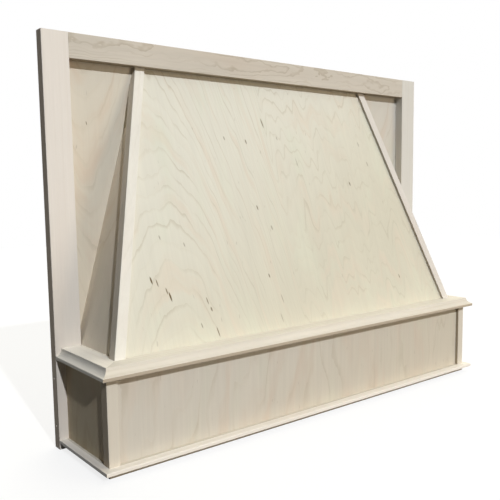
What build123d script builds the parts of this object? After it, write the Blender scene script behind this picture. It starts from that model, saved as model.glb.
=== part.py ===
from build123d import *
from math import atan2, cos, degrees, radians, sin, sqrt, tan
import os

# Maple range hood cover for a 36 inch opening between wall cabinets.  Millimetres.
# X runs left to right, Y from the viewer to the wall, Z up.  While it is built, y = 0 is
# the front face of the face frame, x = 0 the middle and z = 0 the underside.  The pieces are
# written with the origin below the middle of the whole cover, at the centre of its footprint.

# Overall sizes
cover_width = 914.4
cover_height = 673.0
mantel_reach = 171.0         # face of the frame to the front lip of the mantel
mantel_top = 169.2           # underside of the cover to the top of the mantel

# Stock
board_thickness = 19.05      # solid maple
ply_thickness = 6.35         # maple plywood panels
cleat_size = 19.05           # square strips out of sight
edge_ease = 0.5              # arrises taken off with sandpaper
fit_gap = 0.2                # a panel's edge in its groove, a board against a board it must clear

# Face frame
stile_width = 44.45
rail_width = 40.0

# Mantel: a mitred frame of flat boards with a cove along the outer edge
mantel_thickness = 18.0
mantel_board_width = 76.2    # the two returns
cove_radius = 12.7
cove_reach = 10.0            # how far the cove cuts in from the lip

# Chimney: sloping front, sloping sides, two corner posts that lean both ways
chimney_head_width = 578.5   # over the posts, under the top rail
chimney_head_recess = 11.5   # post faces behind the face of the frame, under the top rail
chimney_foot_reach = 132.5   # post faces before the face of the frame, on the mantel
chimney_foot_bearing = 37.7  # front board of the mantel behind the post faces, under the foot
post_width = 18.5            # level width of a chimney post across the front
post_depth = 18.0            # level depth of a chimney post along the side
front_panel_setback = 6.0    # front panel behind the post faces, square to them
side_panel_setback = 6.8     # side panels inside the post sides, square to them
panel_groove_depth = 4.5
side_panel_tip = 21.5        # width at which the pointed side panel is cut off blunt

# Back panels, planted on the back of the face frame
back_panel_stile_lap = 25.0
back_panel_rail_lap = 15.0

# Lower box
box_post_size = 18.0
box_side_inset = 12.0        # outer face of the box inside the edge of the cover
mantel_overhang = 15.5       # front lip of the mantel before the face of the box
apron_setback = 6.35         # front panel behind the box posts
box_side_setback = 4.0       # side panels inside the box posts
box_rail_height = 16.0
strip_thickness = 6.0
strip_inset = 0.4            # edge of the bottom strip behind the lip of the mantel

# Strips and screw holes for fixing the cover and its liner
liner_ledge_lift = 6.0       # underside of the liner ledges above the underside of the cover
soffit_cleat_depth = 38.1
soffit_hole_spacing = 406.4
soffit_hole_radius = 2.5
cabinet_hole_spacing = 80.0
cabinet_hole_radius = 2.25
liner_hole_spacing = 70.0
liner_hole_radius = 2.25

# Wood screws, pocket screws and biscuits
screw_radius = 2.1
screw_head_radius = 4.0
screw_head_height = 2.4
screw_point = 5.0
screw_tip_radius = 0.4
screw_flats = 8              # sides that stand for the round, as there are forty and none shows
short_screw = 31.0
long_screw = 49.0
screw_play = 0.1             # between a screw and the hole it has cut
pocket_angle = 15.0
pocket_radius = 4.8
pocket_shoulder = 13.0       # wood left between the pocket and the end of the rail
pocket_head_height = 3.0
biscuit_length = 56.0
biscuit_width = 23.0
biscuit_thickness = 4.0

# Places that follow from the sizes above
half_width = cover_width / 2
stile_inside = half_width - stile_width
rail_underside = cover_height - rail_width
mantel_underside = mantel_top - mantel_thickness
box_face = mantel_reach - mantel_overhang
box_half_width = half_width - box_side_inset
box_rear_of_post = box_face - box_post_size
apron_face = box_face - apron_setback
box_side_face = box_half_width - box_side_setback
box_side_inner = box_side_face - ply_thickness
mantel_cleat_bottom = mantel_underside - cleat_size
liner_ledge_top = liner_ledge_lift + cleat_size
chimney_foot_half = stile_inside - fit_gap + side_panel_setback
shelf_rear = chimney_foot_bearing - chimney_foot_reach
chimney_rise = rail_underside - mantel_top
front_lean = atan2(chimney_head_recess + chimney_foot_reach, chimney_rise)
side_lean = atan2(chimney_foot_half - chimney_head_width / 2, chimney_rise)

pieces = {}


def board(x_span, y_span, z_span):
    """A straight board that fills the three spans, arrises eased along its length."""
    size = [high - low for low, high in (x_span, y_span, z_span)]
    middle = [(high + low) / 2 for low, high in (x_span, y_span, z_span)]
    stock = Box(*size)
    along = [Axis.X, Axis.Y, Axis.Z][size.index(max(size))]
    return Pos(*middle) * chamfer(stock.edges().filter_by(along), edge_ease)


def panel(x_span, y_span, z_span):
    """A sheet of plywood that fills the three spans, edges left as sawn."""
    size = [high - low for low, high in (x_span, y_span, z_span)]
    middle = [(high + low) / 2 for low, high in (x_span, y_span, z_span)]
    return Pos(*middle) * Box(*size)


def other_side(piece):
    """The right hand twin of a left hand piece."""
    return mirror(piece, Plane.YZ)


# ---------------------------------------------------------------- face frame

def make_face_frame():
    """Two full-height stiles with the top rail butted between them."""
    thickness = (0, board_thickness)
    stile = board((-half_width, -stile_inside), thickness, (0, cover_height))
    pieces["left_stile"] = stile
    pieces["right_stile"] = other_side(stile)
    pieces["top_rail"] = board((-stile_inside, stile_inside), thickness, (rail_underside, cover_height))


# ---------------------------------------------------------------- chimney

def chimney_face(z):
    """Front of the corner posts at height z: the slope of the chimney front."""
    return -chimney_foot_reach + (z - mantel_top) * tan(front_lean)


def chimney_flank(z):
    """Outside of the left corner post at height z: the slope of the chimney side."""
    return -chimney_foot_half + (z - mantel_top) * tan(side_lean)


def front_panel_back(z):
    """Back of the front panel at height z."""
    return chimney_face(z) + (front_panel_setback + ply_thickness) / cos(front_lean)


def side_panel_outside(z):
    """Outer face of the left side panel at height z."""
    return chimney_flank(z) + side_panel_setback / cos(side_lean)


def side_panel_inside(z):
    """Inner face of the left side panel at height z."""
    return side_panel_outside(z) + ply_thickness / cos(side_lean)


def front_groove_floor(z):
    """Floor of the left post's groove for the front panel at height z."""
    return chimney_flank(z) + post_width - panel_groove_depth


def slanting_slab(plane, z_span, span_at):
    """Slab with level ends, its two edges given by height, running right through the cover."""
    foot, head = z_span
    outline = [
        (span_at(foot)[0], foot),
        (span_at(foot)[1], foot),
        (span_at(head)[1], head),
        (span_at(head)[0], head),
    ]
    face = plane * make_face(Polyline(*outline, close=True))
    return extrude(face, amount=cover_width, both=True)


def leaning(z_span, x_span_at, y_span_at):
    """A piece that leans two ways at once: what its front and side outlines have in common."""
    seen_from_front = slanting_slab(Plane.XZ, z_span, x_span_at)
    seen_from_side = slanting_slab(Plane.YZ, z_span, y_span_at)
    return seen_from_front & seen_from_side


def planed_flush(piece):
    """A post with its heel planed upright where it would stand out behind the frame."""
    behind = (board_thickness - fit_gap, cover_width)
    return piece - panel((-half_width, half_width), behind, (0, cover_height + rail_width))


def make_chimney():
    """Front panel and side panels housed in two posts that lean back and inwards at once."""
    z_span = (mantel_top, rail_underside)
    past_ends = (mantel_top - 5, rail_underside + 5)
    tip = (board_thickness - side_panel_tip - post_depth + chimney_foot_reach) / tan(front_lean)

    def post_x(z):
        return chimney_flank(z), chimney_flank(z) + post_width

    def post_y(z):
        return chimney_face(z), chimney_face(z) + post_depth

    def front_groove_x(z):
        return front_groove_floor(z), 0

    def front_groove_y(z):
        start = chimney_face(z) + front_panel_setback / cos(front_lean)
        return start, front_panel_back(z) + fit_gap

    def side_groove_x(z):
        return side_panel_outside(z), side_panel_inside(z) + fit_gap

    def side_groove_y(z):
        post_rear = chimney_face(z) + post_depth
        return post_rear - panel_groove_depth, post_rear + fit_gap

    post = leaning(z_span, post_x, post_y)
    post = chamfer(post.edges().filter_by(lambda edge: edge.length > chimney_rise), edge_ease)
    post -= leaning(past_ends, front_groove_x, front_groove_y)
    post -= leaning(past_ends, side_groove_x, side_groove_y)
    post = planed_flush(post)
    pieces["left_chimney_post"] = post
    pieces["right_chimney_post"] = other_side(post)

    def front_panel_x(z):
        edge = front_groove_floor(z) + fit_gap
        return edge, -edge

    def front_panel_y(z):
        return chimney_face(z) + front_panel_setback / cos(front_lean), front_panel_back(z)

    pieces["chimney_front_panel"] = leaning(z_span, front_panel_x, front_panel_y)

    def side_panel_x(z):
        return side_panel_outside(z), side_panel_inside(z)

    def side_panel_y(z):
        return chimney_face(z) + post_depth - panel_groove_depth + fit_gap, board_thickness

    side = leaning((mantel_top, mantel_top + tip), side_panel_x, side_panel_y)
    pieces["left_chimney_side"] = side
    pieces["right_chimney_side"] = other_side(side)


def make_chimney_cleats():
    """Bevelled strips that tie the foot of the chimney to the mantel and its head to the rail."""
    shelf = mantel_top + cleat_size
    foot = [
        (front_panel_back(mantel_top) + fit_gap, mantel_top),
        (front_panel_back(shelf) + fit_gap, shelf),
        (shelf_rear, shelf),
        (shelf_rear, mantel_top),
    ]
    section = Plane.YZ * make_face(Polyline(*foot, close=True))
    between_posts = -(chimney_flank(shelf) + post_width + fit_gap)
    pieces["chimney_front_cleat"] = extrude(section, amount=between_posts, both=True)

    cleat_inner = -half_width + mantel_board_width
    flank = [
        (side_panel_inside(mantel_top) + fit_gap, mantel_top),
        (side_panel_inside(shelf) + fit_gap, shelf),
        (cleat_inner, shelf),
        (cleat_inner, mantel_top),
    ]
    # Plane.XZ faces the viewer, so a positive extrusion from y = 0 runs towards the front.
    section = Plane.XZ * make_face(Polyline(*flank, close=True))
    side_cleat = extrude(section, amount=-shelf_rear - fit_gap)
    pieces["left_chimney_cleat"] = side_cleat
    pieces["right_chimney_cleat"] = other_side(side_cleat)

    top = cover_height - cleat_size
    bottom = rail_underside - 2 * cleat_size
    rear = board_thickness + cleat_size
    head = [
        (board_thickness, top),
        (board_thickness, rail_underside),
        (front_panel_back(rail_underside) + fit_gap, rail_underside),
        (front_panel_back(bottom) + fit_gap, bottom),
        (rear, bottom),
        (rear, top),
    ]
    section = Plane.YZ * make_face(Polyline(*head, close=True))
    between_panels = -(front_groove_floor(rail_underside + back_panel_rail_lap) + fit_gap)
    pieces["chimney_head_cleat"] = extrude(section, amount=between_panels, both=True)


# ---------------------------------------------------------------- back panels

def make_back_panels():
    """Plywood behind the frame and the chimney posts, scribed to the edge of the front panel."""
    low = mantel_underside
    high = rail_underside + back_panel_rail_lap
    outer = -stile_inside - back_panel_stile_lap
    outline = [
        (outer, low),
        (front_groove_floor(low), low),
        (front_groove_floor(high), high),
        (outer, high),
    ]
    sheet = Plane.XZ * make_face(Polyline(*outline, close=True))
    left = Pos(0, board_thickness, 0) * extrude(sheet, amount=-ply_thickness)
    pieces["left_back_panel"] = left
    pieces["right_back_panel"] = other_side(left)


# ---------------------------------------------------------------- mantel

def mantel_bar(length, width):
    """Flat board with a cove along its front edge; lip on y = 0, underside on z = 0, along X."""
    cove_y = cove_reach - cove_radius
    cove_foot = mantel_thickness - sqrt(cove_radius ** 2 - cove_y ** 2)
    cove_middle = cove_radius * sin(radians(45))
    outline = [
        Line((0, 0), (0, cove_foot)),
        ThreePointArc(
            (0, cove_foot),
            (cove_y + cove_middle, mantel_thickness - cove_middle),
            (cove_reach, mantel_thickness),
        ),
        Line((cove_reach, mantel_thickness), (width, mantel_thickness)),
        Line((width, mantel_thickness), (width, 0)),
        Line((width, 0), (0, 0)),
    ]
    bar = extrude(Plane.YZ * make_face(outline), amount=length / 2, both=True)
    return chamfer(bar.edges().filter_by(Axis.X), edge_ease)


def wedge(points):
    """Upright prism over a plan outline, taller than the mantel board, used to cut the mitres."""
    return extrude(make_face(Polyline(*points, close=True)), amount=3 * mantel_thickness, both=True)


def make_mantel():
    """Front board and two returns, mitred at the corners and butted to the stiles."""
    reach = cover_width                     # longer than any board, so the cuts run right through
    front = Pos(0, -mantel_reach, mantel_underside) * mantel_bar(cover_width, mantel_reach + shelf_rear)
    corner = (-half_width, -mantel_reach)
    inside = (corner[0] + reach, corner[1] + reach)
    behind_mitre = wedge([corner, inside, (corner[0], inside[1])])
    before_mitre = wedge([corner, inside, (inside[0], corner[1])])
    mitre_cut = Pos(0, 0, mantel_underside) * behind_mitre
    front = front - mitre_cut - other_side(mitre_cut)
    pieces["mantel_front"] = front

    bar = mantel_bar(2 * mantel_reach, mantel_board_width)
    turned = Pos(-half_width, 0, mantel_underside) * Rot(0, 0, -90) * bar
    behind_frame = panel((-half_width, 0), (0, 2 * mantel_reach), (0, cover_height))
    side = turned - Pos(0, 0, mantel_underside) * before_mitre - behind_frame
    pieces["mantel_left_return"] = side
    pieces["mantel_right_return"] = other_side(side)


def biscuit(play):
    """Pressed beech biscuit, pointed at both ends; play is added all round to cut its slot."""
    length = biscuit_length + 2 * play
    width = biscuit_width + 2 * play
    radius = (length ** 2 + width ** 2) / (4 * width)
    offset = radius - width / 2
    lens = Pos(0, offset) * Circle(radius) & Pos(0, -offset) * Circle(radius)
    return extrude(lens, amount=biscuit_thickness / 2 + play, both=True)


def make_biscuits():
    """One biscuit across each mitre of the mantel, half in the front board, half in the return."""
    middle = mantel_board_width / 2
    height = mantel_underside + mantel_thickness / 2
    place = Pos(-half_width + middle, -mantel_reach + middle, height) * Rot(0, 0, 45)
    slot = place * biscuit(fit_gap)
    pieces["mantel_front"] -= slot
    pieces["mantel_front"] -= other_side(slot)
    pieces["mantel_left_return"] -= slot
    pieces["mantel_right_return"] -= other_side(slot)
    left = place * biscuit(0)
    pieces["mitre_biscuits"] = Compound([left, other_side(left)])


# ---------------------------------------------------------------- lower box

def make_box():
    """Corner posts, bottom rails and thin panels housed in grooves in both."""
    apron_groove = (-apron_face, -apron_face + ply_thickness + fit_gap)
    side_groove = (-box_side_face, -box_side_inner + fit_gap)
    post_inner = -box_half_width + box_post_size
    groove_floor = box_rail_height - panel_groove_depth

    post = board((-box_half_width, post_inner), (-box_face, -box_rear_of_post), (0, mantel_underside))
    above_floor = (groove_floor, mantel_underside + 5)
    post -= panel((post_inner - panel_groove_depth, 0), apron_groove, above_floor)
    post -= panel(side_groove, (-box_rear_of_post - panel_groove_depth, 0), above_floor)
    pieces["left_box_post"] = post
    pieces["right_box_post"] = other_side(post)

    rail = board((post_inner, -post_inner), (-box_face, -box_rear_of_post), (0, box_rail_height))
    rail -= panel((-half_width, half_width), apron_groove, (groove_floor, cover_height))
    pieces["box_front_rail"] = rail

    side_rail = board((-box_half_width, post_inner), (-box_rear_of_post, 0), (0, box_rail_height))
    side_rail -= panel(side_groove, (-mantel_reach, 5), (groove_floor, cover_height))
    pieces["box_left_rail"] = side_rail
    pieces["box_right_rail"] = other_side(side_rail)

    edge = post_inner - panel_groove_depth + fit_gap
    height = (groove_floor + fit_gap, mantel_underside)
    pieces["apron_panel"] = panel((edge, -edge), (-apron_face, -apron_face + ply_thickness), height)
    front_edge = -box_rear_of_post - panel_groove_depth + fit_gap
    side = panel((-box_side_face, -box_side_inner), (front_edge, 0), height)
    pieces["left_box_side"] = side
    pieces["right_box_side"] = other_side(side)


def make_bottom_strips():
    """Thin flat strips round the foot of the box, flush with the rails, mitred at the corners."""
    outer = (-half_width + strip_inset, -mantel_reach + strip_inset)
    inner = (-box_half_width, -box_face)
    height = Pos(0, 0, box_rail_height - strip_thickness)

    front = make_face(Polyline(outer, (-outer[0], outer[1]), (-inner[0], inner[1]), inner, close=True))
    front = height * extrude(front, amount=strip_thickness)
    front = chamfer(front.edges().group_by(Axis.Y)[0].filter_by(Axis.X), edge_ease)
    pieces["bottom_strip_front"] = front

    side = make_face(Polyline(outer, inner, (inner[0], 0), (outer[0], 0), close=True))
    side = height * extrude(side, amount=strip_thickness)
    side = chamfer(side.edges().group_by(Axis.X)[0].filter_by(Axis.Y), edge_ease)
    pieces["bottom_strip_left"] = side
    pieces["bottom_strip_right"] = other_side(side)


def make_inner_strips():
    """Strips inside the box: under the mantel, up the stiles, and the ledges for the liner."""
    post_inner = -box_half_width + box_post_size
    apron_back = -apron_face + ply_thickness
    under_mantel = (mantel_cleat_bottom, mantel_underside)
    ledge_height = (liner_ledge_lift, liner_ledge_top)
    beside_panel = (-box_side_inner, -box_side_inner + cleat_size)
    beside_rail = (post_inner, post_inner + cleat_size)

    front = board((post_inner, -post_inner), (apron_back, apron_back + cleat_size), under_mantel)
    pieces["mantel_front_cleat"] = front
    side = board(beside_panel, (apron_back + cleat_size, 0), under_mantel)
    pieces["mantel_left_cleat"] = side
    pieces["mantel_right_cleat"] = other_side(side)

    upright = board(beside_panel, (-cleat_size, 0), (liner_ledge_top, mantel_cleat_bottom))
    pieces["left_stile_cleat"] = upright
    pieces["right_stile_cleat"] = other_side(upright)

    ledge_rear = -box_rear_of_post + cleat_size
    front_ledge = board((post_inner, -post_inner), (-box_rear_of_post, ledge_rear), ledge_height)
    pieces["liner_front_ledge"] = front_ledge
    side_ledge = board(beside_rail, (ledge_rear, 0), ledge_height)
    pieces["liner_left_ledge"] = side_ledge
    pieces["liner_right_ledge"] = other_side(side_ledge)


def make_soffit_cleat():
    """Flat strip behind the top of the frame, screwed up into the soffit."""
    half = stile_inside + back_panel_stile_lap
    depth = (board_thickness, board_thickness + soffit_cleat_depth)
    height = (cover_height - cleat_size, cover_height)
    pieces["soffit_cleat"] = board((-half, half), depth, height)


# ---------------------------------------------------------------- holes for fixing

def drill(name, x, y, z, radius, way):
    """Drill right through a piece along the direction way."""
    spot = Plane(origin=(x, y, z), z_dir=way)
    pieces[name] -= spot * Cylinder(radius, cover_width / 4)


def make_fixing_holes():
    """Clearance holes for the screws that hold the cover to cabinets and soffit, and its liner."""
    soffit_y = board_thickness + soffit_cleat_depth / 2
    soffit_z = cover_height - cleat_size / 2
    for x in (-soffit_hole_spacing / 2, soffit_hole_spacing / 2):
        drill("soffit_cleat", x, soffit_y, soffit_z, soffit_hole_radius, (0, 0, 1))

    stile_middle = half_width - stile_width / 2
    cabinet_z = (liner_ledge_top + mantel_cleat_bottom) / 2
    for z in (cabinet_z - cabinet_hole_spacing / 2, cabinet_z + cabinet_hole_spacing / 2):
        for name, x in (("left_stile", -stile_middle), ("right_stile", stile_middle)):
            drill(name, x, board_thickness / 2, z, cabinet_hole_radius, (1, 0, 0))

    ledge_x = box_half_width - box_post_size - cleat_size / 2
    ledge_y = (-box_rear_of_post + cleat_size) / 2
    ledge_z = liner_ledge_lift + cleat_size / 2
    for y in (ledge_y - liner_hole_spacing / 2, ledge_y + liner_hole_spacing / 2):
        for name, x in (("liner_left_ledge", -ledge_x), ("liner_right_ledge", ledge_x)):
            drill(name, x, y, ledge_z, liner_hole_radius, (0, 0, 1))


# ---------------------------------------------------------------- screws

def taper_down(low, high, wide, narrow):
    """Stretch of a screw from z = low, where its radius is wide, to z = high, where it is narrow."""
    flat_share = cos(radians(180 / screw_flats))
    angle = degrees(atan2((wide - narrow) * flat_share, high - low))
    start = Pos(0, 0, low) * RegularPolygon(wide, screw_flats)
    return extrude(start, amount=high - low, taper=angle)


def shank_and_point(start, length, play):
    """The part of a screw that is in the wood, from z = start to its tip."""
    shank = screw_radius + play
    tip = screw_tip_radius + play
    neck = length - screw_point
    return taper_down(start, neck, shank, shank) + taper_down(neck, length + play, shank, tip)


def wood_screw(length, play):
    """Flat-headed wood screw, head on z = 0, point along +Z; play is added to cut its hole."""
    head = taper_down(0, screw_head_height, screw_head_radius + play, screw_radius + play)
    return head + shank_and_point(screw_head_height, length, play)


def drive(group, length, x, y, z, way, *held):
    """Drive a screw from (x, y, z) along the direction way, through the pieces held."""
    spot = Plane(origin=(x, y, z), z_dir=way)
    group.append(spot * wood_screw(length, 0))
    for name in held:
        pieces[name] -= spot * wood_screw(length, screw_play)


def spread(low, high, count):
    """Evenly spaced places between low and high, with half a space at each end."""
    return [low + (high - low) * (index + 0.5) / count for index in range(count)]


def make_screws():
    """The screws of the cleats, all driven from inside or behind so that none shows."""
    short = []
    to_front = (0, -1, 0)
    half = stile_inside
    middle = cleat_size / 2

    # head cleat to the top rail, and soffit cleat to the top rail
    head_half = -front_groove_floor(rail_underside)
    head_z = (rail_underside + cover_height - cleat_size) / 2
    head_rear = board_thickness + cleat_size
    for x in spread(-head_half, head_half, 4):
        drive(short, short_screw, x, head_rear, head_z, to_front, "chimney_head_cleat", "top_rail")
    long = []
    for x in spread(-half, half, 4):
        place = (x, board_thickness + soffit_cleat_depth, cover_height - middle)
        drive(long, long_screw, *place, to_front, "soffit_cleat", "top_rail")
    pieces["soffit_cleat_screws"] = Compound(long)

    # upright cleats to the stiles
    cleat_x = box_side_inner - middle
    for z in spread(liner_ledge_top, mantel_cleat_bottom, 3)[::2]:
        for side, sign in (("left", -1), ("right", 1)):
            held = (f"{side}_stile", f"{side}_stile_cleat")
            drive(short, short_screw, sign * cleat_x, board_thickness, z, to_front, *held)

    # mantel cleats, up into the mantel
    front_y = -apron_face + ply_thickness + middle
    up = (0, 0, 1)
    for x in spread(-half, half, 4):
        place = (x, front_y, mantel_cleat_bottom)
        drive(short, short_screw, *place, up, "mantel_front_cleat", "mantel_front")
    side_places = spread(shelf_rear, 0, 2)
    for side, sign in (("left", -1), ("right", 1)):
        for y in side_places:
            held = (f"mantel_{side}_cleat", f"mantel_{side}_return")
            drive(short, short_screw, sign * cleat_x, y, mantel_cleat_bottom, up, *held)

    # foot cleats of the chimney, down into the mantel
    shelf = mantel_top + cleat_size
    down = (0, 0, -1)
    foot_y = (front_panel_back(shelf) + shelf_rear) / 2
    foot_half = -(chimney_flank(shelf) + post_width)
    for x in spread(-foot_half, foot_half, 5):
        drive(short, short_screw, x, foot_y, shelf, down, "chimney_front_cleat", "mantel_front")
    foot_x = (half_width - mantel_board_width - side_panel_inside(shelf)) / 2
    for side, sign in (("left", -1), ("right", 1)):
        for y in side_places:
            held = (f"{side}_chimney_cleat", f"mantel_{side}_return")
            drive(short, short_screw, sign * foot_x, y, shelf, down, *held)

    # liner ledges to the bottom rails of the box, through the edges of the panels housed there
    ledge_z = (liner_ledge_lift + box_rail_height) / 2
    ledge_rear = -box_rear_of_post + cleat_size
    held = ("liner_front_ledge", "box_front_rail", "apron_panel")
    for x in spread(-half, half, 5):
        drive(short, short_screw, x, ledge_rear, ledge_z, to_front, *held)
    ledge_x = box_half_width - box_post_size - cleat_size
    for side, sign in (("left", -1), ("right", 1)):
        held = (f"liner_{side}_ledge", f"box_{side}_rail", f"{side}_box_side")
        drive(short, short_screw, sign * ledge_x, ledge_rear / 2, ledge_z, (sign, 0, 0), *held)
    pieces["cleat_screws"] = Compound(short)


def pocket_screw(play):
    """Washer-headed screw for a pocket hole, underside of the head on z = 0, point along +Z."""
    head = taper_down(-pocket_head_height, 0, screw_head_radius, screw_head_radius)
    return head + shank_and_point(0, short_screw, play)


def make_pocket_screws():
    """Two screws in slanting pockets, bored from the back, at each end of the top rail."""
    lean = radians(pocket_angle)
    way = (-cos(lean), -sin(lean), 0)
    left = []
    for z in spread(rail_underside, cover_height, 2):
        joint = Vector(-stile_inside, board_thickness / 2, z)
        seat = joint - Vector(*way) * pocket_shoulder
        spot = Plane(origin=seat, z_dir=way)
        pocket = spot * Pos(0, 0, -2 * stile_width) * Cylinder(pocket_radius, 4 * stile_width)
        pieces["top_rail"] -= pocket
        pieces["top_rail"] -= other_side(pocket)
        hole = spot * pocket_screw(screw_play)
        for name in ("top_rail", "left_stile"):
            pieces[name] -= hole
        for name in ("top_rail", "right_stile"):
            pieces[name] -= other_side(hole)
        left.append(spot * pocket_screw(0))
    pieces["frame_pocket_screws"] = Compound(left + [other_side(screw) for screw in left])


make_face_frame()
make_chimney()
make_chimney_cleats()
make_back_panels()
make_mantel()
make_biscuits()
make_box()
make_bottom_strips()
make_inner_strips()
make_soffit_cleat()
make_fixing_holes()
make_screws()
make_pocket_screws()

rear = board_thickness + soffit_cleat_depth
to_centre = Pos(0, (mantel_reach - rear) / 2, 0)
os.makedirs("parts", exist_ok=True)
for name, piece in pieces.items():
    export_step(to_centre * piece, f"parts/{name}.step")
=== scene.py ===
from math import pi, radians

import bmesh
import bpy
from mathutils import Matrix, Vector


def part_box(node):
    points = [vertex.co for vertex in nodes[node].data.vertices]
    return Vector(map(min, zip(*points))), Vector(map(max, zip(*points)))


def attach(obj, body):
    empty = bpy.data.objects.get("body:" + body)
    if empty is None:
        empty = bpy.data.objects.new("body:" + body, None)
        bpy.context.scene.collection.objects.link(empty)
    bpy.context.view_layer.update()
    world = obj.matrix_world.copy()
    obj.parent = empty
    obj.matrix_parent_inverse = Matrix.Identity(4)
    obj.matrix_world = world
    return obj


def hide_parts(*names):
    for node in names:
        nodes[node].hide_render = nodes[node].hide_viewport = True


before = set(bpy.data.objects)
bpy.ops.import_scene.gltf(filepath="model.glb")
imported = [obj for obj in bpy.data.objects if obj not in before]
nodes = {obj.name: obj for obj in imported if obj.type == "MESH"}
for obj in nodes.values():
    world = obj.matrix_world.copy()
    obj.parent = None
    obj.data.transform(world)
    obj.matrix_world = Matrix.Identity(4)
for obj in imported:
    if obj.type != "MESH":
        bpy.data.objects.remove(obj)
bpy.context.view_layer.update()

# ---------------------------------------------------------------------------------- the studio
# The cover stands on a pale floor and is looked at from the front, well to the left, a little
# above its middle.  The camera was fitted to the edges of the cover in the photograph.

camera_place = (-0.8557, -0.9571, 0.4230)
camera_tilt = 83.83              # degrees from looking straight down
camera_roll = 0.754
camera_turn = -38.769
camera_lens = 47.25              # millimetres, as is the width of the sensor
camera_sensor = 36.0
camera_shift = (-0.0074, 0.0193)

camera = bpy.data.objects.new("studio_camera", bpy.data.cameras.new("studio_camera"))
camera.location = camera_place
camera.rotation_euler = (radians(camera_tilt), radians(camera_roll), radians(camera_turn))
camera.data.lens = camera_lens
camera.data.sensor_width = camera_sensor
camera.data.shift_x, camera.data.shift_y = camera_shift
bpy.context.scene.collection.objects.link(camera)
bpy.context.scene.camera = camera
bpy.context.scene.view_settings.view_transform = "Standard"

# One small lamp, high at the front and a little to the left, throws the crisp shadows under the
# rail and the mantel.  A wide, warm one at the front right, low down, lights those shadows, and a
# soft sky above and behind does the rest.  Hardly anything comes from the left, so left edges stay
# dark.

key_way = (0.162, 1.0, -0.66)    # the way in which its light travels
key_strength = 2.12
key_spread = 1.2                 # degrees, as seen from the cover
key_tint = (0.95, 0.99, 1.05)
fill_place = (2.4, -4.3, 0.55)
fill_width = 2.4
fill_strength = 89.0
fill_tint = (1.0, 0.80, 0.59)

key = bpy.data.objects.new("key_lamp", bpy.data.lights.new("key_lamp", "SUN"))
key.rotation_euler = Vector(key_way).to_track_quat("-Z", "Y").to_euler()
key.data.energy = key_strength
key.data.angle = radians(key_spread)
key.data.color = key_tint
bpy.context.scene.collection.objects.link(key)

fill_lamp = bpy.data.objects.new("fill_lamp", bpy.data.lights.new("fill_lamp", "AREA"))
fill_lamp.location = fill_place
fill_lamp.rotation_euler = (-Vector(fill_place)).to_track_quat("-Z", "Y").to_euler()
fill_lamp.data.energy = fill_strength
fill_lamp.data.size = fill_width
fill_lamp.data.color = fill_tint
bpy.context.scene.collection.objects.link(fill_lamp)


class Wire:
    """A socket in a node tree.  Arithmetic on it adds Math nodes, and add() adds any other node."""

    def __init__(self, tree, socket=None):
        self.tree = tree
        self.socket = socket

    def add(self, kind, settings=None, sockets=None, output=0):
        """Add a node: make its settings, then give its sockets values or links."""
        made = self.tree.nodes.new(kind)
        for name, value in (settings or {}).items():
            setattr(made, name, value)
        for name, value in (sockets or {}).items():
            inlet = self.find(made.inputs, name)
            if isinstance(value, Wire):
                self.tree.links.new(value.socket, inlet)
            else:
                inlet.default_value = value
        return Wire(self.tree, self.find(made.outputs, output)) if made.outputs else None

    def find(self, sockets, name):
        """The socket with that number, name or identifier."""
        if isinstance(name, int):
            return sockets[name]
        return next(socket for socket in sockets if name in (socket.identifier, socket.name))

    def math(self, operation, *values):
        return self.add("ShaderNodeMath", {"operation": operation}, dict(enumerate(values)))

    def __add__(self, other):
        return self.math("ADD", self, other)

    __radd__ = __add__

    def __sub__(self, other):
        return self.math("SUBTRACT", self, other)

    def __rsub__(self, other):
        return self.math("SUBTRACT", other, self)

    def __mul__(self, other):
        return self.math("MULTIPLY", self, other)

    __rmul__ = __mul__

    def __truediv__(self, other):
        return self.math("DIVIDE", self, other)

    def __pow__(self, other):
        return self.math("POWER", self, other)

    def __neg__(self):
        return self.math("MULTIPLY", self, -1.0)

    def __abs__(self):
        return self.math("ABSOLUTE", self)


def split(vector):
    """The three numbers of a vector."""
    return [vector.add("ShaderNodeSeparateXYZ", None, {0: vector}, axis) for axis in range(3)]


def ease(value, low, high):
    """0 where value is at low, 1 where it is at high, and an even curve between."""
    sockets = {"Value": value, "From Min": low, "From Max": high}
    return value.add("ShaderNodeMapRange", {"interpolation_type": "SMOOTHSTEP"}, sockets)


def looked_at(wire):
    """1 for rays from the camera, and for what metal or glass shows of it, and 0 for light."""
    camera_ray, glossy_ray, through_ray = (
        wire.add("ShaderNodeLightPath", None, None, name)
        for name in ("Is Camera Ray", "Is Glossy Ray", "Is Transmission Ray")
    )
    seen = camera_ray.math("MAXIMUM", camera_ray, glossy_ray)
    return seen.math("MAXIMUM", seen, through_ray)


sky_above = 1.85                 # strength of the light from straight above
above_fade = (-0.28, 0.58)       # from left to right, where that light begins and where it is full
sky_behind = 2.6                 # and the same for the light from behind the cover
behind_fade = (-0.05, 0.45)
sky_tint = (1.0, 0.96, 0.80, 1.0)
plain_white = (1.0, 1.0, 1.0, 1.0)

world = bpy.data.worlds.new("studio_sky")
world.use_nodes = True
world.node_tree.nodes.clear()
sky = Wire(world.node_tree)
way_x, way_y, way_z = split(sky.add("ShaderNodeTexCoord", None, None, "Generated"))
above = way_z.math("MAXIMUM", way_z, 0.0) * ease(way_x, *above_fade)
behind = way_y.math("MAXIMUM", way_y, 0.0) * ease(way_x, *behind_fade)
fill = above * sky_above + behind * sky_behind
daylight = sky.add("ShaderNodeBackground", None, {"Color": sky_tint, "Strength": fill})
backdrop = sky.add("ShaderNodeBackground", None, {"Color": plain_white, "Strength": 1.0})
surroundings = sky.add("ShaderNodeMixShader", None, {0: looked_at(sky), 1: daylight, 2: backdrop})
sky.add("ShaderNodeOutputWorld", None, {"Surface": surroundings})
bpy.context.scene.world = world

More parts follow.
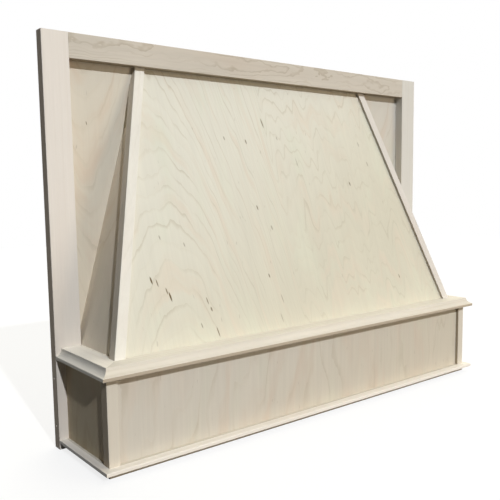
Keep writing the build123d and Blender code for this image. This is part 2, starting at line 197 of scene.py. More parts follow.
# The floor is a large pale sheet.  The camera sees it white, with the cover's soft shadow on it.

floor_half = 4.0
floor_drop = 0.0005                     # below the underside of the cover
floor_dull = (0.10, 0.10, 0.10, 1.0)    # its colour for the light that it gives back
floor_white = (0.97, 0.97, 0.97, 1.0)   # its colour for the camera, which takes the shadow
floor_brightness = 1.05                 # strength of the plain glow that is mixed with that
floor_glow = 0.77                       # and the share of the glow in the mix

floor_mesh = bpy.data.meshes.new("studio_floor")
corner_signs = [(-1, -1), (1, -1), (1, 1), (-1, 1)]
floor_corners = [(x * floor_half, y * floor_half, -floor_drop) for x, y in corner_signs]
floor_mesh.from_pydata(floor_corners, [], [range(len(floor_corners))])
floor = bpy.data.objects.new("studio_floor", floor_mesh)
bpy.context.scene.collection.objects.link(floor)


def new_material(name):
    """An empty material, and a wire to build it with."""
    material = bpy.data.materials.new(name)
    material.use_nodes = True
    material.node_tree.nodes.clear()
    return material, Wire(material.node_tree)


floor_material, sheet = new_material("studio_floor")
matt = sheet.add("ShaderNodeBsdfDiffuse", None, {"Color": floor_dull})
white_matt = sheet.add("ShaderNodeBsdfDiffuse", None, {"Color": floor_white})
glow_sockets = {"Color": plain_white, "Strength": floor_brightness}
white_glow = sheet.add("ShaderNodeEmission", None, glow_sockets)
shown = sheet.add("ShaderNodeMixShader", None, {0: floor_glow, 1: white_matt, 2: white_glow})
laid = sheet.add("ShaderNodeMixShader", None, {0: looked_at(sheet), 1: matt, 2: shown})
sheet.add("ShaderNodeOutputMaterial", None, {"Surface": laid})
floor_mesh.materials.append(floor_material)

# ---------------------------------------------------------------------------------- face frame
# Two stiles run the full height and the top rail is butted between them: planed maple boards
# 19 mm thick, held by pocket screws from behind.  The left stile is pinkish and nearly plain, and
# the rail is greyer, with wavy grain.  The narrow faces of both, and the foot of the left stile,
# are browner with painted shade.

stile_cream = (232, 226, 218)
right_stile_cream = (215, 213, 206)
rail_beige = (204, 197, 185)
rosy_tone = (0.98, 0.93, 0.90)      # what a pink patch does to red, green and blue
line_tone = (0.955, 0.93, 0.885)    # what a grain line does
painted_shade_tone = (0.78, 0.72, 0.64)      # and what painted shade on a narrow face or towards a low end does
wood_shine = 0.08                   # specular level of bare sanded wood
board_grit = 0.00006                # how deep its sanded grain is

upright = Vector((0, 0, 1))
sideways = Vector((1, 0, 0))
inwards = Vector((0, 1, 0))      # from the viewer to the wall
outwards = -inwards


def shade(red, green, blue):
    """A colour with parts from 0 to 255, as the shaders take it."""
    parts = [part / 255 for part in (red, green, blue)]
    bent = [part / 12.92 if part < 0.04045 else ((part + 0.055) / 1.055) ** 2.4 for part in parts]
    return (*bent, 1.0)


def toned(colour, tone):
    """A colour with each part times that part of a tone."""
    return [part * share for part, share in zip(colour, tone)]


def dot(place, axis):
    """How far a place lies along an axis."""
    settings = {"operation": "DOT_PRODUCT"}
    return place.add("ShaderNodeVectorMath", settings, {0: place, 1: axis}, "Value")


def cloud(x, y, z, detail=2.0):
    """Soft noise from 0 to 1, with about one lump for each unit of x, y and z."""
    point = x.add("ShaderNodeCombineXYZ", None, {0: x, 1: y, 2: z})
    return x.add("ShaderNodeTexNoise", None, {"Vector": point, "Scale": 1.0, "Detail": detail})


def stain(amount, under, over):
    """One colour over another, by amount."""
    sockets = {"Factor_Float": amount, "A_Color": under, "B_Color": over}
    return amount.add("ShaderNodeMix", {"data_type": "RGBA"}, sockets, "Result_Color")


def dim(colour, amount):
    """A colour times a number."""
    return amount.add("ShaderNodeVectorMath", {"operation": "SCALE"}, {0: colour, "Scale": amount})


def surface_finish(material, wire, colour, roughness, relief, depth):
    """Bare sanded wood: colour, a dull sheen and a fine relief."""
    bump = wire.add("ShaderNodeBump", None, {"Height": relief, "Distance": depth})
    sockets = {"Base Color": colour, "Roughness": roughness, "Normal": bump}
    sockets["Specular IOR Level"] = wood_shine
    sanded = wire.add("ShaderNodeBsdfPrincipled", None, sockets)
    wire.add("ShaderNodeOutputMaterial", None, {"Surface": sanded})


def dress(node, material):
    """Give a CAD node its finished material."""
    for held in nodes[node].material_slots:
        held.material = material


def board_place(wire, node, along, out):
    """Places on a board from its middle: along the grain, across the face, and up out of it."""
    low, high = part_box(node)
    place = wire.add("ShaderNodeTexCoord", None, None, "Object")
    offset = {0: place, 1: (low + high) / 2}
    place = place.add("ShaderNodeVectorMath", {"operation": "SUBTRACT"}, offset)
    across = out.cross(along)
    return dot(place, along), dot(place, across), dot(place, out)


# Lumps of noise to the metre, along the grain and across it.
fibre_lumps = (16.0, 420.0)
streak_lumps = (2.2, 110.0)
patch_lumps = (5.0, 22.0)
rosy_lumps = (4.0, 15.0)
pore_lumps = (60.0, 1300.0)
gap_lumps = (4.0, 20.0)
waver_across = 30.0

late_wood = (0.55, 0.95)         # shares of a year in which its dark line starts and is darkest
year_apart = 3.7                 # how far off in the noise the gaps of the next year's line are
line_gaps = (0.35, 0.65)         # noise at which a line is gone, and at which it is full
pore_size = (0.66, 0.78)         # noise at which a pore begins, and at which it is full
pink_size = (0.48, 0.80)         # and the same for a pink patch
low_shade_span = (-0.15, 0.28)          # metres below the middle where the painted shade at a low end starts and is full
end_facing = (0.55, 0.9)         # how squarely a face looks along the grain to be a sawn end,
broad_facing = (0.93, 0.99)      # out of the board to be its broad face,
narrow_facing = (0.75, 0.95)     # and across it to be a narrow one
lip_blur = 0.0005                # over how many metres the painted shade on a narrow face ends at its lip

fibre_shade = 0.07               # how much each of these lightens or darkens the wood
pore_shade = 0.04
end_shade = 0.12
end_line_shade = 0.14
patch_over_streak = 0.02         # how much more the patches do so than the streaks
line_stain = 8.0                 # how much a line is stained for each part that it is darkened
most_line_stain = 0.6
board_dullness = 0.56            # roughness, and what streaks and sawn ends add to it
streak_dullness = 0.14
end_dullness = 0.18
fibre_relief = 0.7               # how high the fibres stand and how deep the lines lie, as shares
line_relief = 0.25               # of how deep a pore is


def grained(place, lumps, detail=2.0, start=0.0):
    """Noise drawn out along the grain of a board."""
    run, side, deep = place
    along, across = lumps
    return cloud(run * along + start, side * across, deep * across, detail)


def solid_maple(
    node, colour, along, out, heart=(0.02, 0.07), tilt=0.02, ring=0.009, curl=5.0, wave=0.004,
    line=0.07, streaky=0.08, pink=0.3, foot_shade=0.0, edge=0.0, lip=1.0, painted_highlight=0.0,
):
    """A planed maple board.  Its grain lines are the year rings, one ring apart, of a tree whose
    heart lies beside and behind its face, tilted a little.  They waver along the board, with curl
    waves to the metre.  Lines, streaks and pink patches are as strong as line, streaky and pink
    say.  Painted shade makes the board browner, by foot_shade, towards its low end, and its narrow
    faces browner by edge, up to the height of a lip from the middle of its thickness.  A painted
    highlight makes its broad face paler by painted_highlight."""
    material, wood = new_material(node + "_maple")
    place = board_place(wood, node, along, out)
    run, side, deep = place
    off_side = side - heart[0] + run * tilt
    off_deep = deep + heart[1] + run * tilt
    radius = (off_side * off_side + off_deep * off_deep) ** 0.5
    waver = grained(place, (curl, waver_across), detail=3.0)
    year = (radius + waver * wave) / ring
    within = year.math("FRACT", year)
    late = ease(within, *late_wood) - ease(within, late_wood[1], 1.0)
    this_year = year.math("FLOOR", year) * year_apart
    gaps = cloud(this_year, run * gap_lumps[0], side * gap_lumps[1])
    late_drawn = late * ease(gaps, *line_gaps)

    fibre = grained(place, fibre_lumps)
    streak = grained(place, streak_lumps, detail=3.0)
    patch = grained(place, patch_lumps, start=3.0)
    rosy = ease(grained(place, rosy_lumps, start=-7.0), *pink_size)
    pore = ease(grained(place, pore_lumps, detail=1.0), *pore_size)

    facing = wood.add("ShaderNodeNewGeometry", None, None, "Normal")
    sawn_end = ease(abs(dot(facing, along)), *end_facing)
    # Painted highlight: the broad face is drawn paler, as if lit from above.
    highlit_face = ease(dot(facing, out), *broad_facing)
    # Painted shade: the narrow faces and the low end are drawn browner, where less light falls.
    narrow_shade = ease(abs(dot(facing, out.cross(along))), *narrow_facing)
    narrow_shade = narrow_shade * (1.0 - ease(deep - lip, 0.0, lip_blur)) * edge
    shade_amount = narrow_shade.math("MAXIMUM", narrow_shade, ease(-run, *low_shade_span) * foot_shade)

    light = 1.0 + (streak - 0.5) * streaky + (patch - 0.5) * (streaky + patch_over_streak)
    light = light + (fibre - 0.5) * fibre_shade - late_drawn * line - pore * pore_shade
    light = light * (1.0 - sawn_end * (end_shade + late * end_line_shade))
    light = light * (1.0 + highlit_face * painted_highlight)
    warm = stain(rosy * pink, shade(*colour), shade(*toned(colour, rosy_tone)))
    warm = stain(shade_amount, warm, shade(*toned(colour, painted_shade_tone)))
    lines = late_drawn * min(line * line_stain, most_line_stain)
    lined = stain(lines, warm, shade(*toned(colour, line_tone)))
    rough = board_dullness + (streak - 0.5) * streak_dullness + sawn_end * end_dullness
    relief = fibre * fibre_relief - pore - late * line_relief
    surface_finish(material, wood, dim(lined, light), rough, relief, board_grit)
    dress(node, material)


solid_maple(
    "left_stile", stile_cream, upright, outwards, heart=(0.07, 0.05), tilt=0.006, line=0.012,
    streaky=0.03, foot_shade=0.33, edge=0.75,
)
solid_maple(
    "right_stile", right_stile_cream, upright, outwards, heart=(-0.09, 0.04), tilt=0.004, line=0.02,
)
solid_maple(
    "top_rail", rail_beige, sideways, outwards, heart=(0.008, 0.030), ring=0.0030, curl=15.0,
    wave=0.016, line=0.13, streaky=0.15, pink=0.5, edge=0.8,
)

# --------------------------------------------------------------------------------- back panels
# Maple plywood 6 mm thick, planted on the back of the frame either side of the chimney.  Its face
# is a rotary-cut veneer with wide V shapes and pink clouds, and its five plies show on its sawn
# edges.

back_beige = (214, 208, 194)
# The low colour is painted shade at the foot of the left panel.
back_shaded_beige = (217, 206, 186)
right_back_beige = (206, 202, 192)
fleck_brown = (104, 88, 60)
ply_pale = (196, 176, 146)
ply_dark = (150, 122, 88)
mossy_tone = (0.965, 1.0, 0.965)    # what a green-grey patch does to red, green and blue
panel_grit = 0.00004                # how deep the sanded grain is
side_facing = 0.5                   # how squarely a face looks to a side to belong to it
ply_count = 5
sheet_thickness = (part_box("left_back_panel")[1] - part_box("left_back_panel")[0]).y

back_flecks = [
    # across from the middle, up the slope from the middle, half length, half width, strength
    (-0.025, 0.135, 0.004, 0.0010, 0.8),
]


def sheet_place(wire, node, out):
    """Places on a sheet from its middle: across it, up its slope, and out through its thickness."""
    low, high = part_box(node)
    place = wire.add("ShaderNodeTexCoord", None, None, "Object")
    offset = {0: place, 1: (low + high) / 2}
    place = place.add("ShaderNodeVectorMath", {"operation": "SUBTRACT"}, offset)
    up = (upright - out * out.dot(upright)).normalized()
    return dot(place, up.cross(out)), dot(place, up), dot(place, out)


def broad_face(node, toward):
    """Which way the widest flat face of a sheet looks, of those that look toward a side."""
    areas = {}
    for face in nodes[node].data.polygons:
        if face.normal.dot(toward) > side_facing:
            kind = tuple(round(part, 3) for part in face.normal)
            areas[kind] = areas.get(kind, 0.0) + face.area
    return Vector(max(areas, key=areas.get)).normalized()


# Lumps of noise to the metre, across the sheet and up it: first those that push the lines about.
slow_lumps = (8.0, 2.6)
jagged_lumps = (26.0, 6.0)
peaked_lumps = (34.0, 4.0)
hairy_lumps = (90.0, 26.0)
broken_lumps = (14.0, 7.0)
pith_lumps = (190.0, 46.0)
veneer_fibre_lumps = (420.0, 14.0)
veneer_streak_lumps = (130.0, 4.0)
veneer_patch_lumps = (14.0, 4.5)
veneer_rosy_lumps = (9.0, 4.0)
mossy_lumps = (16.0, 6.0)

veneer_line = (0.72, 0.96)       # shares of a step in which its line starts and is darkest
step_apart = 5.3                 # how far off in the noise the gaps of the next step's line are
veneer_gaps = (0.42, 0.68)       # noise at which a line is faint, and at which it is full
faint_line = 0.2                 # what is left of a line in a gap
arms_end = 0.27                  # how far right of the axis the arms still slope, in metres
axis_round = 0.0012              # how round an arch is on its axis, in square metres
peaks_right = (0.05, 0.26)       # how far right of the axis the peaks start and are full
peak_push = 3.0                  # how far the peaks push the lines, beside the jags
hair_push = 0.4                  # and how far the hairs do, in steps
rosy_drift = 0.8                 # how fast the pink clouds change from line to line
veneer_pink_size = (0.48, 0.74)  # noise at which a pink cloud begins, and at which it is full
mossy_size = (0.50, 0.70)        # and the same for a green-grey patch
pith_size = (0.735, 0.80)        # and for a tiny speck of pith
pith_strength = 0.22
fleck_lean = 0.18                # how much a fleck leans to the right as it falls
fleck_fade = (0.15, 1.0)         # where in a fleck it starts to fade out, and where it ends
fade_lean = 0.6                  # how much the change to the painted shade at the foot rises to the right
fade_rise = (-0.24, 0.26)        # heights on the middle line where that change starts and ends
sheet_facing = (0.5, 0.7)        # how squarely a face looks out of the sheet to be its face

veneer_patch_shade = 0.09        # how much each of these lightens or darkens the veneer
step_shade = 0.022
veneer_line_stain = 0.5
veneer_dullness = 0.52           # roughness, and what streaks and sawn edges add to it
veneer_streak_dullness = 0.12
sawn_edge_dullness = 0.25
veneer_fibre_relief = 0.8        # how high the fibres stand, and how deep lines and flecks lie
veneer_line_relief = 0.4
fleck_relief = 1.5
ply_light = 0.8                  # how light the sawn plies are, and what fibres and the glue
ply_fibre_light = 0.35           # lines between plies do to that
glue_line_light = 0.05
glue_line = (0.1, 0.2)


def scattered(side, rise, lumps, detail=2.0, start=0.0, depth=0.0):
    """Noise over a sheet, which another depth changes."""
    across, up = lumps
    return cloud(side * across + start, rise * up, depth, detail)


def rotary_maple(
    node, colour, toward, arch, bow=0.0, line=0.06, streaky=0.06, pink=0.4, moss=0.25,
    wander=5.0, jags=1.5, low_shade_colour=None, flecks=(),
):
    """Rotary-cut maple veneer on plywood.  Its lines are the contours of a wavy field: arches about
    an upright axis, given by where that axis is, how tall a step is on it and how steep its arms
    are, with a bow that makes them steeper further off, all pushed about by noise so that they
    zigzag.  The noise gains on the right of the axis, where the lines become jagged peaks.  Pink
    clouds and green-grey patches are as strong as pink and moss say, the foot of the sheet takes
    the colour low_shade_colour, which is painted shade where the light falls off towards the foot,
    and flecks are small dark marks."""
    axis, step, steep = arch
    material, wood = new_material(node + "_veneer")
    out = broad_face(node, toward)
    side, rise, deep = sheet_place(wood, node, out)
    off_axis = side - axis
    off_axis = off_axis.math("MINIMUM", off_axis, arms_end)
    arm = (off_axis * off_axis + axis_round) ** 0.5 * steep + off_axis * off_axis * bow
    slow = scattered(side, rise, slow_lumps)
    jagged = scattered(side, rise, jagged_lumps)
    peaked = scattered(side, rise, peaked_lumps, detail=1.0, start=9.0)
    peaked = peaked * ease(off_axis, *peaks_right)
    hairy = scattered(side, rise, hairy_lumps)
    field = (rise + arm) / step + slow * wander + (jagged + peaked * peak_push) * jags
    field = field + hairy * hair_push
    within = field.math("FRACT", field)
    edge = ease(within, *veneer_line) - ease(within, veneer_line[1], 1.0)
    this_step = field.math("FLOOR", field) * step_apart
    each = ease(scattered(side, rise, broken_lumps, depth=this_step), *veneer_gaps)
    drawn = edge * (faint_line + (1.0 - faint_line) * each)

    fibre = scattered(side, rise, veneer_fibre_lumps)
    streak = scattered(side, rise, veneer_streak_lumps, detail=3.0)
    patch = scattered(side, rise, veneer_patch_lumps, detail=3.0, start=4.0)
    drift = field * rosy_drift
    rosy = scattered(side, rise, veneer_rosy_lumps, detail=3.0, start=-9.0, depth=drift)
    mossy = scattered(side, rise, mossy_lumps, detail=3.0, start=31.0)
    facing = wood.add("ShaderNodeNewGeometry", None, None, "Normal")
    on_face = ease(dot(facing, out), *sheet_facing)
    dark = ease(scattered(side, rise, pith_lumps, detail=1.0), *pith_size) * pith_strength
    for where, height, length, width, strength in flecks:
        across = (side - where + (rise - height) * fleck_lean) / width
        away = across * across + ((rise - height) / length) ** 2.0
        dark = dark + (1.0 - ease(away, *fleck_fade)) * on_face * strength
    dark = dark.math("MINIMUM", dark, 1.0)

    light = 1.0 + (streak - 0.5) * streaky + (patch - 0.5) * veneer_patch_shade
    light = light + (within - 0.5) * step_shade + (fibre - 0.5) * fibre_shade - drawn * line
    base = shade(*colour)
    # Painted shade: the foot of the sheet takes the low colour.
    if low_shade_colour:
        base = stain(ease(rise - side * fade_lean, *fade_rise), shade(*low_shade_colour), base)
    rosy = ease(rosy, *veneer_pink_size) * pink
    mossy = ease(mossy, *mossy_size) * moss
    warm = stain(rosy, base, shade(*toned(colour, rosy_tone)))
    warm = stain(mossy, warm, shade(*toned(colour, mossy_tone)))
    warm = stain(drawn * veneer_line_stain, warm, shade(*toned(colour, line_tone)))
    warm = stain(dark, dim(warm, light), shade(*fleck_brown))

    sawn_edge = 1.0 - ease(abs(dot(facing, out)), *sheet_facing)
    ply = (deep / sheet_thickness + 0.5) * ply_count
    glued = ease(abs(ply.math("PINGPONG", ply, 1.0) - 0.5), *glue_line)
    layer = ply.math("FLOORED_MODULO", ply.math("FLOOR", ply), 2.0)
    plies = stain(layer, shade(*ply_pale), shade(*ply_dark))
    plies = dim(plies, ply_light + fibre * ply_fibre_light + glued * glue_line_light)
    colouring = stain(sawn_edge, warm, plies)
    rough = veneer_dullness + (streak - 0.5) * veneer_streak_dullness
    rough = rough + sawn_edge * sawn_edge_dullness
    relief = fibre * veneer_fibre_relief - drawn * veneer_line_relief - dark * fleck_relief
    surface_finish(material, wood, colouring, rough, relief, panel_grit)
    dress(node, material)


rotary_maple(
    "left_back_panel", back_beige, outwards, (-0.024, 0.045, -3.5), line=0.08, pink=0.75, moss=0.05,
    wander=2.5, jags=1.0, low_shade_colour=back_shaded_beige, flecks=back_flecks,
)
rotary_maple(
    "right_back_panel", right_back_beige, outwards, (-0.03, 0.070, -3.5), pink=0.6, wander=3.0,
)

# ------------------------------------------------------------------------------------- mantel
# Three flat maple boards with a cove along the outer edge, mitred at the front corners and butted
# to the stiles.  A painted highlight makes their broad faces paler, as if lit from above, and the
# front board and right return have painted shade on the square edge under the cove, so the broad
# faces are paler than the edges.

mantel_cream = (215, 209, 197)
# The left return is drawn paler than the front board: painted light, making up for the light from
# above that reaches it less.
return_cream_with_light = (236, 231, 220)
cove_foot = -0.0034              # where the cove meets the square edge, from the board's middle

for name, colour, along, edge_shade in (
    ("mantel_front", mantel_cream, sideways, 0.7),
    ("mantel_left_return", return_cream_with_light, inwards, 0.0),
    ("mantel_right_return", mantel_cream, inwards, 0.7),
):
    solid_maple(
        name, colour, along, upright, heart=(0.03, 0.06), tilt=0.01, ring=0.005, line=0.06,
        streaky=0.12, edge=edge_shade, lip=cove_foot, painted_highlight=0.15,
    )

# ----------------------------------------------------------------------------- chimney corners
# Slender posts of pale, straight-grained maple that lean back and inwards at once.  The front and
# side panels are housed in grooves in them.  Their narrow faces are browner with painted shade.

post_cream = (227, 224, 215)
right_post_cream = (213, 208, 201)
end_slack = 0.001                # corners this near the foot or head of a post are at its end


def lengthways(node):
    """From the middle of a leaning piece's foot to the middle of its head."""
    points = [vertex.co for vertex in nodes[node].data.vertices]
    foot, head = (end(point.z for point in points) for end in (min, max))
    ends = []
    for level in (foot, head):
        ring = [point for point in points if abs(point.z - level) < end_slack]
        low, high = (Vector(tuple(end(axis) for axis in zip(*ring))) for end in (min, max))
        ends.append((low + high) / 2)
    return (ends[1] - ends[0]).normalized()


for name, colour in (("left_chimney_post", post_cream), ("right_chimney_post", right_post_cream)):
    solid_maple(
        name, colour, lengthways(name), outwards, heart=(0.06, 0.06), tilt=0.005, line=0.03,
        streaky=0.12, edge=0.52,
    )

# ------------------------------------------------------------------------------- chimney front
# The big sloping panel between the posts, set back from their faces: rotary-cut maple plywood,
# with nested arches at its left, jagged, nearly upright lines at its right, and small dark flecks.

front_cream = (218, 216, 204)
# The low colour is painted shade, darker towards the foot.
front_shaded_cream = (206, 202, 185)
front_flecks = [                 # each is written as for the back panels
    (-0.330, -0.130, 0.008, 0.0020, 1.0),
    (-0.320, -0.135, 0.008, 0.0015, 0.8),
    (-0.305, -0.150, 0.007, 0.0015, 0.8),
    (-0.300, -0.160, 0.010, 0.0020, 1.0),
    (-0.230, -0.175, 0.008, 0.0015, 0.7),
    (-0.225, -0.190, 0.005, 0.0020, 0.8),
    (-0.250, -0.215, 0.006, 0.0015, 0.6),
    (-0.220, -0.230, 0.011, 0.0015, 0.8),
    (-0.300, -0.060, 0.005, 0.0015, 0.5),
    (-0.255, -0.075, 0.005, 0.0015, 0.5),
    (-0.125, 0.120, 0.005, 0.0020, 0.5),
    (-0.075, 0.115, 0.006, 0.0020, 0.7),
    (-0.025, 0.155, 0.012, 0.0020, 0.7),
    (0.005, 0.125, 0.005, 0.0015, 0.5),
    (-0.080, -0.015, 0.006, 0.0020, 0.7),
    (-0.055, -0.055, 0.006, 0.0020, 0.5),
    (-0.085, -0.145, 0.005, 0.0020, 0.7),
    (-0.065, -0.190, 0.011, 0.0015, 0.4),
    (-0.075, -0.225, 0.011, 0.0015, 0.4),
    (0.045, 0.075, 0.014, 0.0010, 0.4),
    (0.185, 0.030, 0.006, 0.0020, 0.8),
    (0.240, 0.120, 0.007, 0.0020, 0.4),
    (0.255, 0.075, 0.007, 0.0020, 0.4),
    (0.275, -0.180, 0.006, 0.0020, 0.6),
]

rotary_maple(
    "chimney_front_panel", front_cream, outwards, (-0.29, 0.036, 0.7), bow=10.0, line=0.12,
    streaky=0.08, pink=0.45, wander=4.0, jags=1.6, low_shade_colour=front_shaded_cream, flecks=front_flecks,
)

# ------------------------------------------------------------------------------- chimney sides
# Three-cornered maple plywood panels that close the chimney's sides, from grooves in the posts back
# to the frame.  Their top corners are cut off blunt.

side_beige = (225, 215, 198)

for name, toward in (("left_chimney_side", -sideways), ("right_chimney_side", sideways)):
    rotary_maple(
        name, side_beige, toward, (0.0, 0.09, 3.0), line=0.05, pink=0.5, wander=2.5,
    )

# ------------------------------------------------------------------------------------ the box
# Under the mantel stands a shallow box: square corner posts, low bottom rails, and plywood panels
# with upright grain housed in grooves in both.  The posts' narrow faces are browner with painted
# shade.

box_cream = (211, 204, 190)
apron_cream = (204, 198, 186)
# The low colour is painted shade, darker towards the foot.
apron_shaded_cream = (200, 192, 176)
side_shade = (192, 178, 152)

for name in ("left_box_post", "right_box_post"):
    solid_maple(
        name, box_cream, upright, outwards, heart=(0.05, 0.05), tilt=0.01, line=0.03, edge=0.7,
    )
for name, along, out in (
    ("box_front_rail", sideways, outwards),
    ("box_left_rail", inwards, -sideways),
    ("box_right_rail", inwards, sideways),
):
    solid_maple(name, box_cream, along, out, heart=(0.02, 0.05), line=0.05)
rotary_maple(
    "apron_panel", apron_cream, outwards, (0.10, 0.30, 8.0), line=0.08, streaky=0.14, pink=0.6,
    jags=1.2, low_shade_colour=apron_shaded_cream,
)
for name, toward in (("left_box_side", -sideways), ("right_box_side", sideways)):
    rotary_maple(
        name, side_shade, toward, (0.0, 0.30, 10.0), line=0.05, pink=0.6, wander=3.0,
    )

# -------------------------------------------------------------------------------- bottom strips
# Thin flat maple strips planted round the foot of the box, mitred at the corners, with their
# arrises eased.

# Their pale colour is partly their own and partly painted light, for the light on their tops.
strip_cream_with_light = (242, 236, 226)

for name, along in (
    ("bottom_strip_front", sideways),
    ("bottom_strip_left", inwards),
    ("bottom_strip_right", inwards),
):
    solid_maple(name, strip_cream_with_light, along, upright, heart=(0.03, 0.06), tilt=0.01, line=0.03)

# --------------------------------------------------------------------------------- inner strips
# Sawn maple strips out of sight: cleats under the mantel, up the stiles and at the foot and head
# of the chimney, the ledges for the liner, and the wide cleat that is screwed up to the soffit.

sawn_beige = (204, 190, 166)

for name, along in (
    ("mantel_front_cleat", sideways),
    ("mantel_left_cleat", inwards),
    ("mantel_right_cleat", inwards),
    ("left_stile_cleat", upright),
    ("right_stile_cleat", upright),
    ("chimney_front_cleat", sideways),
    ("left_chimney_cleat", inwards),
    ("right_chimney_cleat", inwards),
    ("chimney_head_cleat", sideways),
    ("liner_front_ledge", sideways),
    ("liner_left_ledge", inwards),
    ("liner_right_ledge", inwards),
    ("soffit_cleat", sideways),
):
    out = inwards if along is upright else upright
    solid_maple(
        name, sawn_beige, along, out, heart=(0.02, 0.04), tilt=0.03, wave=0.006, line=0.14, pink=0.5,
    )

# ------------------------------------------------------------------------------------ biscuits
# Pressed beech ovals, one glued into slots across each mitre of the mantel to keep its two boards
# level.  They are out of sight, and are drawn as a maple board is, only browner.

beech_brown = (196, 164, 126)

solid_maple(
    "mitre_biscuits", beech_brown, sideways, upright, heart=(0.0, 0.05), line=0.16, pink=0.2,
)

# -------------------------------------------------------------------------------------- screws
# Plated steel screws, all driven from inside or behind: wood screws with countersunk heads and
# cross recesses in the cleats and ledges, and pan-headed ones in the pockets of the top rail.

screw_sides = 16
head_rings = 4                   # floor and rim of the recess, and top and rim of the head
ring_slack = 0.3                 # how near a ring's number is to a whole one
rings_a_turn = 4
thread_pitch = 0.0028
screw_core = 0.0021              # outer radius of the thread
screw_point = 0.005              # length of the taper at the tip
screw_seed = 7
screw_flats = 8                  # corners in each ring of a CAD screw
same_corner = 0.00001            # corners nearer than this are one

recess_depth = 0.4               # sizes of the head as shares of its radius
recess_waist = 0.17
recess_arm = 0.34                # how much further out than its waist the recess reaches
head_top_width = 0.93
recess_floor = 0.5               # width of the recess at its floor as a share of that at its rim
thread_start = (0.12, 0.2)       # shares of the shank at which the thread begins and is full
plain_shank = 0.86               # sizes of the shank as shares of the thread's outer radius
thread_depth = 0.34
thread_root = 0.20               # how much thinner than the plain shank the thread's root is
blunt_tip = 0.16

zinc_bright = (196, 198, 202)
zinc_dull = (178, 174, 160)
mottle_lumps = 900.0             # to the metre
film_lumps = 160.0
mottle_light = (0.82, 0.36)      # how light the plating is at the least, and how much it varies
film_dullness = (0.26, 0.2)      # and the same for its roughness
plating_grit = 0.00002

screw_sizes = {
    # length, head radius, top and rim of the head and start of the shank along the screw
    "cleat_screws": (0.031, 0.004, 0.0, 0.0003, 0.0024),
    "soffit_cleat_screws": (0.049, 0.004, 0.0, 0.0003, 0.0024),
    "frame_pocket_screws": (0.031, 0.004, -0.003, 0.0, 0.00002),
}


def screw_material():
    """Zinc-plated steel, a little streaked by the tool that turned it."""
    material, steel = new_material("zinc_plated_steel")
    x, y, z = split(steel.add("ShaderNodeTexCoord", None, None, "Object"))
    mottle = cloud(*(part * mottle_lumps for part in (x, y, z)), 3.0)
    film = cloud(*(part * film_lumps for part in (x, y, z)))
    tint = stain(film, shade(*zinc_bright), shade(*zinc_dull))
    colour = dim(tint, mottle_light[0] + mottle * mottle_light[1])
    rough = film_dullness[0] + film * film_dullness[1]
    bump = steel.add("ShaderNodeBump", None, {"Height": mottle, "Distance": plating_grit})
    sockets = {"Base Color": colour, "Roughness": rough, "Metallic": 1.0, "Normal": bump}
    plated = steel.add("ShaderNodeBsdfPrincipled", None, sockets)
    steel.add("ShaderNodeOutputMaterial", None, {"Surface": plated})
    return material


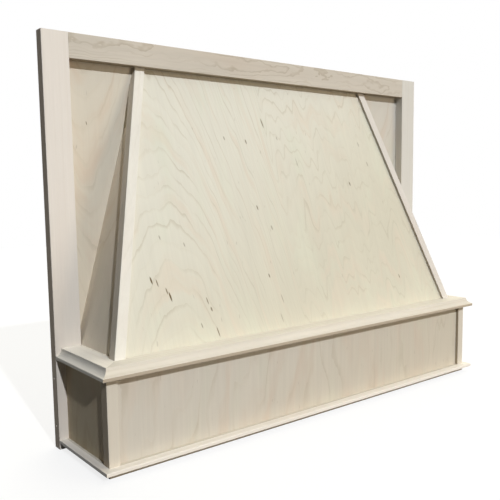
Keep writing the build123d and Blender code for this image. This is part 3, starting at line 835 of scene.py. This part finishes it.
def screw_nodes(material):
    """A node tree that drives a screw at every point of a mesh, along the point's way."""
    tree = bpy.data.node_groups.new("driven_screws", "GeometryNodeTree")
    sizes = (
        "Length", "Head Radius", "Head Top", "Head Rim", "Shank Start", "Shank Radius", "Point",
        "Pitch",
    )
    sockets = {"Places": "NodeSocketGeometry", **dict.fromkeys(sizes, "NodeSocketFloat")}
    for name, kind in {**sockets, "Rings": "NodeSocketInt", "Seed": "NodeSocketInt"}.items():
        tree.interface.new_socket(name, in_out="INPUT", socket_type=kind)
    tree.interface.new_socket("Screws", in_out="OUTPUT", socket_type="NodeSocketGeometry")
    inlet = tree.nodes.new("NodeGroupInput")
    given = {socket.name: Wire(tree, socket) for socket in inlet.outputs if socket.name}
    start = given["Places"]

    # A plain tube, whose rings are then moved to the outline of a screw, head first.
    sockets = {"Vertices": screw_sides, "Side Segments": given["Rings"], "Radius": 1.0, "Depth": 1.0}
    tube = start.add("GeometryNodeMeshCylinder", {"fill_type": "NGON"}, sockets, "Mesh")
    x, y, level = split(start.add("GeometryNodeInputPosition"))
    ring = (level + 0.5) * given["Rings"]
    floor_ring, recess_ring, top_ring, rim_ring = (
        ring.math("COMPARE", ring, float(number), ring_slack) for number in range(head_rings)
    )
    shank_ring = ring.math("GREATER_THAN", ring, head_rings - ring_slack)
    share = (ring - head_rings) / (given["Rings"] - head_rings)
    down = given["Shank Start"] + share * (given["Length"] - given["Shank Start"])
    height = (floor_ring + recess_ring + top_ring) * given["Head Top"] + rim_ring * given["Head Rim"]
    height = height + floor_ring * given["Head Radius"] * recess_depth + shank_ring * down

    turn = y.math("ARCTAN2", y, x) / (2 * pi)
    coil = down / given["Pitch"] - turn
    crest = 1.0 - abs(coil.math("FRACT", coil) * 2.0 - 1.0)
    threaded = ease(share, *thread_start)
    thickness = plain_shank + threaded * (crest * crest * thread_depth - thread_root)
    taper = down.math("MINIMUM", (given["Length"] - down) / given["Point"], 1.0)
    shank = given["Shank Radius"] * thickness * (blunt_tip + taper * (1.0 - blunt_tip))
    cross = (x * x - y * y) ** 2.0 * recess_arm + recess_waist
    recess = given["Head Radius"] * cross * (recess_ring + floor_ring * recess_floor)
    head = given["Head Radius"] * (top_ring * head_top_width + rim_ring)
    radius = recess + head + shank_ring * shank
    place = start.add("ShaderNodeCombineXYZ", None, {0: x * radius, 1: y * radius, 2: height})
    screw = tube.add("GeometryNodeSetPosition", None, {"Geometry": tube, "Position": place})

    way = start.add("GeometryNodeInputNamedAttribute", {"data_type": "FLOAT_VECTOR"}, {"Name": "way"})
    aim = way.add("FunctionNodeAlignRotationToVector", {"axis": "Z"}, {"Vector": way})
    sockets = {"Min_001": 0.0, "Max_001": 2 * pi, "Seed": given["Seed"]}
    spin = start.add("FunctionNodeRandomValue", {"data_type": "FLOAT"}, sockets, "Value_001")
    spin = spin.add("FunctionNodeAxisAngleToRotation", None, {"Axis": upright, "Angle": spin})
    sockets = {"Rotation": aim, "Rotate By": spin}
    aim = aim.add("FunctionNodeRotateRotation", {"rotation_space": "LOCAL"}, sockets)
    sockets = {"Points": given["Places"], "Instance": screw, "Rotation": aim}
    driven = start.add("GeometryNodeInstanceOnPoints", None, sockets)
    driven = driven.add("GeometryNodeRealizeInstances", None, {0: driven})
    driven = driven.add("GeometryNodeSetMaterial", None, {"Geometry": driven, "Material": material})
    driven.add("NodeGroupOutput", None, {"Screws": driven})
    return tree


def islands(node):
    """The corners of each separate solid of a CAD node."""
    merged = bmesh.new()
    merged.from_mesh(nodes[node].data)
    bmesh.ops.remove_doubles(merged, verts=merged.verts, dist=same_corner)
    waiting = set(merged.verts)
    found = []
    for first in merged.verts:
        if first in waiting:
            reached = [first]
            for corner in reached:
                waiting.discard(corner)
                near = [edge.other_vert(corner) for edge in corner.link_edges]
                fresh = [other for other in near if other in waiting]
                waiting.difference_update(fresh)
                reached.extend(fresh)
            found.append([corner.co.copy() for corner in reached])
    merged.free()
    return found


def screw_places(node, head_top):
    """Where each screw of a CAD node starts, and which way it points.  Its tip is the eight corners
    furthest from its middle, and its head's top lies furthest from them."""
    starts, ways = [], []
    for corners in islands(node):
        middle = sum(corners, Vector()) / len(corners)
        tip = sorted(corners, key=lambda corner: (corner - middle).length)[-screw_flats:]
        way = (sum(tip, Vector()) / screw_flats - middle).normalized()
        top = min((corner - middle).dot(way) for corner in corners)
        starts.append(middle + way * (top - head_top))
        ways.append(way)
    return starts, ways


plated_steel = screw_material()
screw_tree = screw_nodes(plated_steel)
inlets = [socket for socket in screw_tree.interface.items_tree if socket.in_out == "INPUT"]
keys = {socket.name: socket.identifier for socket in inlets}

for node, (length, head_radius, head_top, head_rim, shank_start) in screw_sizes.items():
    starts, ways = screw_places(node, head_top)
    points = bpy.data.meshes.new(node + "_places")
    points.from_pydata(starts, [], [])
    aimed = points.attributes.new("way", "FLOAT_VECTOR", "POINT")
    aimed.data.foreach_set("vector", [part for way in ways for part in way])
    holder = bpy.data.objects.new(node + "_places", points)
    bpy.context.scene.collection.objects.link(holder)
    maker = holder.modifiers.new("driven_screws", "NODES")
    maker.node_group = screw_tree
    inputs = {
        "Length": length, "Head Radius": head_radius, "Head Top": head_top, "Head Rim": head_rim,
        "Shank Start": shank_start, "Shank Radius": screw_core, "Point": screw_point,
        "Pitch": thread_pitch, "Rings": head_rings + round(length / thread_pitch * rings_a_turn),
        "Seed": screw_seed,
    }
    for name, value in inputs.items():
        maker[keys[name]] = value
    bpy.context.view_layer.update()
    made = holder.evaluated_get(bpy.context.evaluated_depsgraph_get())
    mesh = bpy.data.meshes.new_from_object(made)
    holder.modifiers.remove(maker)
    bpy.data.objects.remove(holder)
    mesh.name = node + "_driven"
    mesh.materials.clear()
    mesh.materials.append(plated_steel)
    mesh.polygons.foreach_set("material_index", [0] * len(mesh.polygons))
    piece = bpy.data.objects.new(node + "_driven", mesh)
    bpy.context.scene.collection.objects.link(piece)
    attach(piece, "root")
    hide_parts(node)
